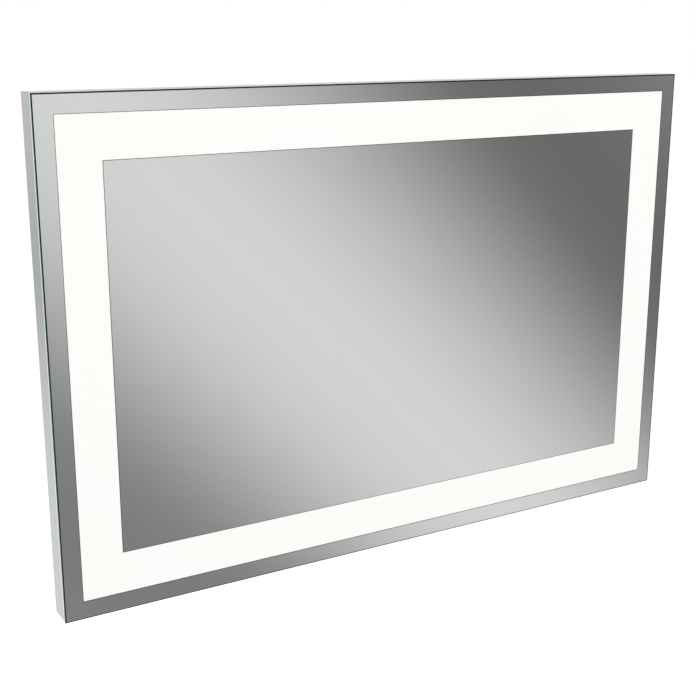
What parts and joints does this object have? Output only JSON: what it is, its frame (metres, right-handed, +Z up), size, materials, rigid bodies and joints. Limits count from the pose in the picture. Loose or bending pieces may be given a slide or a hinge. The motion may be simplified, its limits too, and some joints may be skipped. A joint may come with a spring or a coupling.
{
  "type": "lighted bathroom mirror",
  "caption": "Wall-hung landscape mirror with an etched light band parallel to its edges, shallow mitred metal frame, hidden hook-over wall rail and rear cable entry",
  "frame": {"origin": "on the wall plane, at the middle of the wall rail's row of fixing slots", "axes": "+X to the right seen from the front, +Y into the wall, +Z up; the mirror faces -Y"},
  "size_m": [0.9, 0.038, 0.6],
  "materials": {
    "mirror_glass": "silvered float glass with green ground edges",
    "etched_glass": "deep-etched satin glass, lit from behind",
    "safety_film": "matt adhesive film",
    "heating_film": "matt laminated film",
    "foam_tape": "closed-cell foam",
    "opal_acrylic": "opal sheet, satin",
    "frame_aluminium": "satin anodised",
    "mill_aluminium": "mill finish extrusion",
    "rivet_aluminium": "drawn, bright",
    "cast_zinc": "pressure-cast, tumbled",
    "black_steel": "black oxide",
    "zinc_coated_sheet": "hot-dip zinc coated, faint spangle",
    "zinc_plated_steel": "bright zinc plated",
    "white_circuit_board": "white solder mask",
    "led_phosphor": "phosphor gel in a white cup",
    "driver_case": "moulded, fine spark texture",
    "grey_moulding": "moulded, fine spark texture",
    "white_moulding": "moulded nylon",
    "black_moulding": "moulded",
    "sensor_window": "polished dark window",
    "black_rubber": "moulded rubber",
    "brass": "turned brass",
    "tinned_copper": "tinned",
    "white_sheath": "extruded PVC",
    "black_sheath": "extruded PVC",
    "earth_sheath": "extruded PVC, green with a yellow stripe"
  },
  "bodies": {
    "wall_mount": {"wall_rail": "mill_aluminium"},
    "mirror": {"back_plate": "zinc_coated_sheet", "bonding_tape": "foam_tape", "bumper_screws": "zinc_plated_steel", "cable_grommet": "black_rubber", "corner_keys": "cast_zinc", "demister_lead": "white_sheath", "demister_pad": "heating_film", "diffuser_bottom": "opal_acrylic", "diffuser_left": "opal_acrylic", "diffuser_right": "opal_acrylic", "diffuser_top": "opal_acrylic", "driver_screws": "zinc_plated_steel", "earth_lead": "earth_sheath", "earth_nut": "brass", "earth_stud": "zinc_plated_steel", "earth_tag": "tinned_copper", "feed_lead": "white_sheath", "frame_bottom": "frame_aluminium", "frame_left": "frame_aluminium", "frame_right": "frame_aluminium", "frame_top": "frame_aluminium", "hanger_rail": "mill_aluminium", "hanger_rivets": "rivet_aluminium", "key_screws": "black_steel", "lead_clips": "white_moulding", "led_board_bottom": "white_circuit_board", "led_board_left": "white_circuit_board", "led_board_right": "white_circuit_board", "led_board_top": "white_circuit_board", "led_chips": "led_phosphor", "led_driver": "driver_case", "lid_screws": "zinc_plated_steel", "link_leads": "white_sheath", "mirror_pane": "mirror_glass", "motion_sensor": "black_moulding", "plate_screws": "zinc_plated_steel", "safety_film": "safety_film", "sensor_lead": "black_sheath", "sensor_lens": "sensor_window", "supply_lead": "white_sheath", "terminal_block": "white_moulding", "terminal_box": "grey_moulding", "terminal_lid": "grey_moulding", "wall_bumpers": "black_rubber"}
  },
  "joints": [
    {"name": "lift_off", "type": "slide", "parent": "wall_mount", "child": "mirror", "axis": [0, 0, 1], "range_m": [0, 0.012]}
  ]
}
